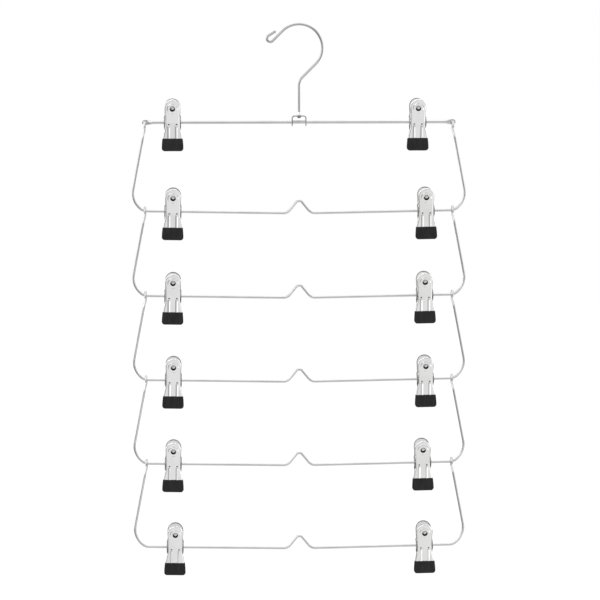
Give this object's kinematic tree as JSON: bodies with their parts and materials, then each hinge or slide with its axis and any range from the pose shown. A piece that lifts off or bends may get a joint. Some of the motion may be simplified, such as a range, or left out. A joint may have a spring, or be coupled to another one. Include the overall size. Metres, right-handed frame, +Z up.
{
  "type": "skirt hanger",
  "caption": "Hanging chrome wire skirt hanger in tiers, with a swivel hook, folding tier wires and sliding sprung clips with black vinyl-tipped jaws.",
  "frame": {"origin": "inside top of the hook's arc, where the rail carries the hanger", "axes": "+X along the bars to the right, +Y away from the viewer, +Z up"},
  "size_m": [0.3314, 0.0254, 0.5512],
  "materials": {
    "chrome_wire": "bright chrome plate on drawn steel wire",
    "chrome_plate": "bright chrome plate on pressed steel sheet",
    "spring_steel": "bright rolled strip",
    "black_vinyl": "soft satin vinyl"
  },
  "bodies": {
    "hook": {"hook": "chrome_wire", "hook_collar": "chrome_plate"},
    "top_bar": {"top_bar": "chrome_wire", "swivel_bracket": "chrome_plate"},
    "tier_2": {"tier_2_wire": "chrome_wire"},
    "tier_3": {"tier_3_wire": "chrome_wire"},
    "tier_4": {"tier_4_wire": "chrome_wire"},
    "tier_5": {"tier_5_wire": "chrome_wire"},
    "tier_6": {"tier_6_wire": "chrome_wire"},
    "clip_1_left_spring": {"clip_1_left_spring": "spring_steel"},
    "clip_1_left_rear": {"clip_1_left_rear_jaw": "chrome_plate"},
    "clip_1_left_front": {"clip_1_left_front_plate": "chrome_plate", "clip_1_left_front_boot": "black_vinyl"},
    "clip_1_right_spring": {"clip_1_right_spring": "spring_steel"},
    "clip_1_right_rear": {"clip_1_right_rear_jaw": "chrome_plate"},
    "clip_1_right_front": {"clip_1_right_front_plate": "chrome_plate", "clip_1_right_front_boot": "black_vinyl"},
    "clip_2_left_spring": {"clip_2_left_spring": "spring_steel"},
    "clip_2_left_rear": {"clip_2_left_rear_jaw": "chrome_plate"},
    "clip_2_left_front": {"clip_2_left_front_plate": "chrome_plate", "clip_2_left_front_boot": "black_vinyl"},
    "clip_2_right_spring": {"clip_2_right_spring": "spring_steel"},
    "clip_2_right_rear": {"clip_2_right_rear_jaw": "chrome_plate"},
    "clip_2_right_front": {"clip_2_right_front_plate": "chrome_plate", "clip_2_right_front_boot": "black_vinyl"},
    "clip_3_left_spring": {"clip_3_left_spring": "spring_steel"},
    "clip_3_left_rear": {"clip_3_left_rear_jaw": "chrome_plate"},
    "clip_3_left_front": {"clip_3_left_front_plate": "chrome_plate", "clip_3_left_front_boot": "black_vinyl"},
    "clip_3_right_spring": {"clip_3_right_spring": "spring_steel"},
    "clip_3_right_rear": {"clip_3_right_rear_jaw": "chrome_plate"},
    "clip_3_right_front": {"clip_3_right_front_plate": "chrome_plate", "clip_3_right_front_boot": "black_vinyl"},
    "clip_4_left_spring": {"clip_4_left_spring": "spring_steel"},
    "clip_4_left_rear": {"clip_4_left_rear_jaw": "chrome_plate"},
    "clip_4_left_front": {"clip_4_left_front_plate": "chrome_plate", "clip_4_left_front_boot": "black_vinyl"},
    "clip_4_right_spring": {"clip_4_right_spring": "spring_steel"},
    "clip_4_right_rear": {"clip_4_right_rear_jaw": "chrome_plate"},
    "clip_4_right_front": {"clip_4_right_front_plate": "chrome_plate", "clip_4_right_front_boot": "black_vinyl"},
    "clip_5_left_spring": {"clip_5_left_spring": "spring_steel"},
    "clip_5_left_rear": {"clip_5_left_rear_jaw": "chrome_plate"},
    "clip_5_left_front": {"clip_5_left_front_plate": "chrome_plate", "clip_5_left_front_boot": "black_vinyl"},
    "clip_5_right_spring": {"clip_5_right_spring": "spring_steel"},
    "clip_5_right_rear": {"clip_5_right_rear_jaw": "chrome_plate"},
    "clip_5_right_front": {"clip_5_right_front_plate": "chrome_plate", "clip_5_right_front_boot": "black_vinyl"},
    "clip_6_left_spring": {"clip_6_left_spring": "spring_steel"},
    "clip_6_left_rear": {"clip_6_left_rear_jaw": "chrome_plate"},
    "clip_6_left_front": {"clip_6_left_front_plate": "chrome_plate", "clip_6_left_front_boot": "black_vinyl"},
    "clip_6_right_spring": {"clip_6_right_spring": "spring_steel"},
    "clip_6_right_rear": {"clip_6_right_rear_jaw": "chrome_plate"},
    "clip_6_right_front": {"clip_6_right_front_plate": "chrome_plate", "clip_6_right_front_boot": "black_vinyl"}
  },
  "joints": [
    {"name": "hook_swivel", "type": "hinge", "parent": "hook", "child": "top_bar", "pos_m": [0, 0, -0.0952], "axis": [0, 0, 1], "continuous": true},
    {"name": "tier_2_fold", "type": "hinge", "parent": "top_bar", "child": "tier_2", "pos_m": [0, 0, -0.09845], "axis": [1, 0, 0], "range_deg": [-90, 90]},
    {"name": "tier_3_fold", "type": "hinge", "parent": "tier_2", "child": "tier_3", "pos_m": [0, 0, -0.18265], "axis": [-1, 0, 0], "range_deg": [-120, 120]},
    {"name": "tier_4_fold", "type": "hinge", "parent": "tier_3", "child": "tier_4", "pos_m": [0, 0, -0.26685], "axis": [1, 0, 0], "range_deg": [-120, 120]},
    {"name": "tier_5_fold", "type": "hinge", "parent": "tier_4", "child": "tier_5", "pos_m": [0, 0, -0.35105], "axis": [-1, 0, 0], "range_deg": [-120, 120]},
    {"name": "tier_6_fold", "type": "hinge", "parent": "tier_5", "child": "tier_6", "pos_m": [0, 0, -0.43525], "axis": [1, 0, 0], "range_deg": [-120, 120]},
    {"name": "clip_1_left_slide", "type": "slide", "parent": "top_bar", "child": "clip_1_left_spring", "axis": [-1, 0, 0], "range_m": [-0.101, 0.008]},
    {"name": "clip_1_left_swing", "type": "hinge", "parent": "clip_1_left_spring", "child": "clip_1_left_rear", "pos_m": [-0.125, 0, -0.0952], "axis": [1, 0, 0], "continuous": true},
    {"name": "clip_1_left_jaw", "type": "hinge", "parent": "clip_1_left_rear", "child": "clip_1_left_front", "pos_m": [-0.125, 0, -0.0952], "axis": [-1, 0, 0], "range_deg": [0, 30], "stiffness_Nm_per_rad": 0.3, "springref_deg": -34.38, "deforming": ["clip_1_left_spring"]},
    {"name": "clip_1_right_slide", "type": "slide", "parent": "top_bar", "child": "clip_1_right_spring", "axis": [1, 0, 0], "range_m": [-0.0935, 0.0155]},
    {"name": "clip_1_right_swing", "type": "hinge", "parent": "clip_1_right_spring", "child": "clip_1_right_rear", "pos_m": [0.1175, 0, -0.0952], "axis": [1, 0, 0], "continuous": true},
    {"name": "clip_1_right_jaw", "type": "hinge", "parent": "clip_1_right_rear", "child": "clip_1_right_front", "pos_m": [0.1175, 0, -0.0952], "axis": [-1, 0, 0], "range_deg": [0, 30], "stiffness_Nm_per_rad": 0.3, "springref_deg": -34.38, "deforming": ["clip_1_right_spring"]},
    {"name": "clip_2_left_slide", "type": "slide", "parent": "tier_2", "child": "clip_2_left_spring", "axis": [-0.9998, 0, 0.0175], "range_m": [-0.101, 0.017]},
    {"name": "clip_2_left_swing", "type": "hinge", "parent": "clip_2_left_spring", "child": "clip_2_left_rear", "pos_m": [-0.125, 0, -0.18337], "axis": [0.9998, 0, -0.0175], "continuous": true},
    {"name": "clip_2_left_jaw", "type": "hinge", "parent": "clip_2_left_rear", "child": "clip_2_left_front", "pos_m": [-0.125, 0, -0.18337], "axis": [-0.9998, 0, 0.0175], "range_deg": [0, 30], "stiffness_Nm_per_rad": 0.3, "springref_deg": -34.38, "deforming": ["clip_2_left_spring"]},
    {"name": "clip_2_right_slide", "type": "slide", "parent": "tier_2", "child": "clip_2_right_spring", "axis": [0.9998, 0, 0.0175], "range_m": [-0.102, 0.016]},
    {"name": "clip_2_right_swing", "type": "hinge", "parent": "clip_2_right_spring", "child": "clip_2_right_rear", "pos_m": [0.126, 0, -0.18335], "axis": [0.9998, 0, 0.0175], "continuous": true},
    {"name": "clip_2_right_jaw", "type": "hinge", "parent": "clip_2_right_rear", "child": "clip_2_right_front", "pos_m": [0.126, 0, -0.18335], "axis": [-0.9998, 0, -0.0175], "range_deg": [0, 30], "stiffness_Nm_per_rad": 0.3, "springref_deg": -34.38, "deforming": ["clip_2_right_spring"]},
    {"name": "clip_3_left_slide", "type": "slide", "parent": "tier_3", "child": "clip_3_left_spring", "axis": [-0.9998, 0, 0.0175], "range_m": [-0.10151, 0.01649]},
    {"name": "clip_3_left_swing", "type": "hinge", "parent": "clip_3_left_spring", "child": "clip_3_left_rear", "pos_m": [-0.12551, 0, -0.26756], "axis": [0.9998, 0, -0.0175], "continuous": true},
    {"name": "clip_3_left_jaw", "type": "hinge", "parent": "clip_3_left_rear", "child": "clip_3_left_front", "pos_m": [-0.12551, 0, -0.26756], "axis": [-0.9998, 0, 0.0175], "range_deg": [0, 30], "stiffness_Nm_per_rad": 0.3, "springref_deg": -34.38, "deforming": ["clip_3_left_spring"]},
    {"name": "clip_3_right_slide", "type": "slide", "parent": "tier_3", "child": "clip_3_right_spring", "axis": [0.9998, 0, 0.0175], "range_m": [-0.101, 0.017]},
    {"name": "clip_3_right_swing", "type": "hinge", "parent": "clip_3_right_spring", "child": "clip_3_right_rear", "pos_m": [0.125, 0, -0.26757], "axis": [0.9998, 0, 0.0175], "continuous": true},
    {"name": "clip_3_right_jaw", "type": "hinge", "parent": "clip_3_right_rear", "child": "clip_3_right_front", "pos_m": [0.125, 0, -0.26757], "axis": [-0.9998, 0, -0.0175], "range_deg": [0, 30], "stiffness_Nm_per_rad": 0.3, "springref_deg": -34.38, "deforming": ["clip_3_right_spring"]},
    {"name": "clip_4_left_slide", "type": "slide", "parent": "tier_4", "child": "clip_4_left_spring", "axis": [-0.9998, 0, 0.0175], "range_m": [-0.10151, 0.01649]},
    {"name": "clip_4_left_swing", "type": "hinge", "parent": "clip_4_left_spring", "child": "clip_4_left_rear", "pos_m": [-0.12551, 0, -0.35176], "axis": [0.9998, 0, -0.0175], "continuous": true},
    {"name": "clip_4_left_jaw", "type": "hinge", "parent": "clip_4_left_rear", "child": "clip_4_left_front", "pos_m": [-0.12551, 0, -0.35176], "axis": [-0.9998, 0, 0.0175], "range_deg": [0, 30], "stiffness_Nm_per_rad": 0.3, "springref_deg": -34.38, "deforming": ["clip_4_left_spring"]},
    {"name": "clip_4_right_slide", "type": "slide", "parent": "tier_4", "child": "clip_4_right_spring", "axis": [0.9998, 0, 0.0175], "range_m": [-0.102, 0.016]},
    {"name": "clip_4_right_swing", "type": "hinge", "parent": "clip_4_right_spring", "child": "clip_4_right_rear", "pos_m": [0.126, 0, -0.35175], "axis": [0.9998, 0, 0.0175], "continuous": true},
    {"name": "clip_4_right_jaw", "type": "hinge", "parent": "clip_4_right_rear", "child": "clip_4_right_front", "pos_m": [0.126, 0, -0.35175], "axis": [-0.9998, 0, -0.0175], "range_deg": [0, 30], "stiffness_Nm_per_rad": 0.3, "springref_deg": -34.38, "deforming": ["clip_4_right_spring"]},
    {"name": "clip_5_left_slide", "type": "slide", "parent": "tier_5", "child": "clip_5_left_spring", "axis": [-0.9998, 0, 0.0175], "range_m": [-0.102, 0.016]},
    {"name": "clip_5_left_swing", "type": "hinge", "parent": "clip_5_left_spring", "child": "clip_5_left_rear", "pos_m": [-0.126, 0, -0.43595], "axis": [0.9998, 0, -0.0175], "continuous": true},
    {"name": "clip_5_left_jaw", "type": "hinge", "parent": "clip_5_left_rear", "child": "clip_5_left_front", "pos_m": [-0.126, 0, -0.43595], "axis": [-0.9998, 0, 0.0175], "range_deg": [0, 30], "stiffness_Nm_per_rad": 0.3, "springref_deg": -34.38, "deforming": ["clip_5_left_spring"]},
    {"name": "clip_5_right_slide", "type": "slide", "parent": "tier_5", "child": "clip_5_right_spring", "axis": [0.9998, 0, 0.0175], "range_m": [-0.09949, 0.01851]},
    {"name": "clip_5_right_swing", "type": "hinge", "parent": "clip_5_right_spring", "child": "clip_5_right_rear", "pos_m": [0.12349, 0, -0.436], "axis": [0.9998, 0, 0.0175], "continuous": true},
    {"name": "clip_5_right_jaw", "type": "hinge", "parent": "clip_5_right_rear", "child": "clip_5_right_front", "pos_m": [0.12349, 0, -0.436], "axis": [-0.9998, 0, -0.0175], "range_deg": [0, 30], "stiffness_Nm_per_rad": 0.3, "springref_deg": -34.38, "deforming": ["clip_5_right_spring"]},
    {"name": "clip_6_left_slide", "type": "slide", "parent": "tier_6", "child": "clip_6_left_spring", "axis": [-0.9998, 0, 0.0175], "range_m": [-0.1005, 0.0175]},
    {"name": "clip_6_left_swing", "type": "hinge", "parent": "clip_6_left_spring", "child": "clip_6_left_rear", "pos_m": [-0.1245, 0, -0.52018], "axis": [0.9998, 0, -0.0175], "continuous": true},
    {"name": "clip_6_left_jaw", "type": "hinge", "parent": "clip_6_left_rear", "child": "clip_6_left_front", "pos_m": [-0.1245, 0, -0.52018], "axis": [-0.9998, 0, 0.0175], "range_deg": [0, 30], "stiffness_Nm_per_rad": 0.3, "springref_deg": -34.38, "deforming": ["clip_6_left_spring"]},
    {"name": "clip_6_right_slide", "type": "slide", "parent": "tier_6", "child": "clip_6_right_spring", "axis": [0.9998, 0, 0.0175], "range_m": [-0.10151, 0.01649]},
    {"name": "clip_6_right_swing", "type": "hinge", "parent": "clip_6_right_spring", "child": "clip_6_right_rear", "pos_m": [0.12551, 0, -0.52016], "axis": [0.9998, 0, 0.0175], "continuous": true},
    {"name": "clip_6_right_jaw", "type": "hinge", "parent": "clip_6_right_rear", "child": "clip_6_right_front", "pos_m": [0.12551, 0, -0.52016], "axis": [-0.9998, 0, -0.0175], "range_deg": [0, 30], "stiffness_Nm_per_rad": 0.3, "springref_deg": -34.38, "deforming": ["clip_6_right_spring"]}
  ]
}
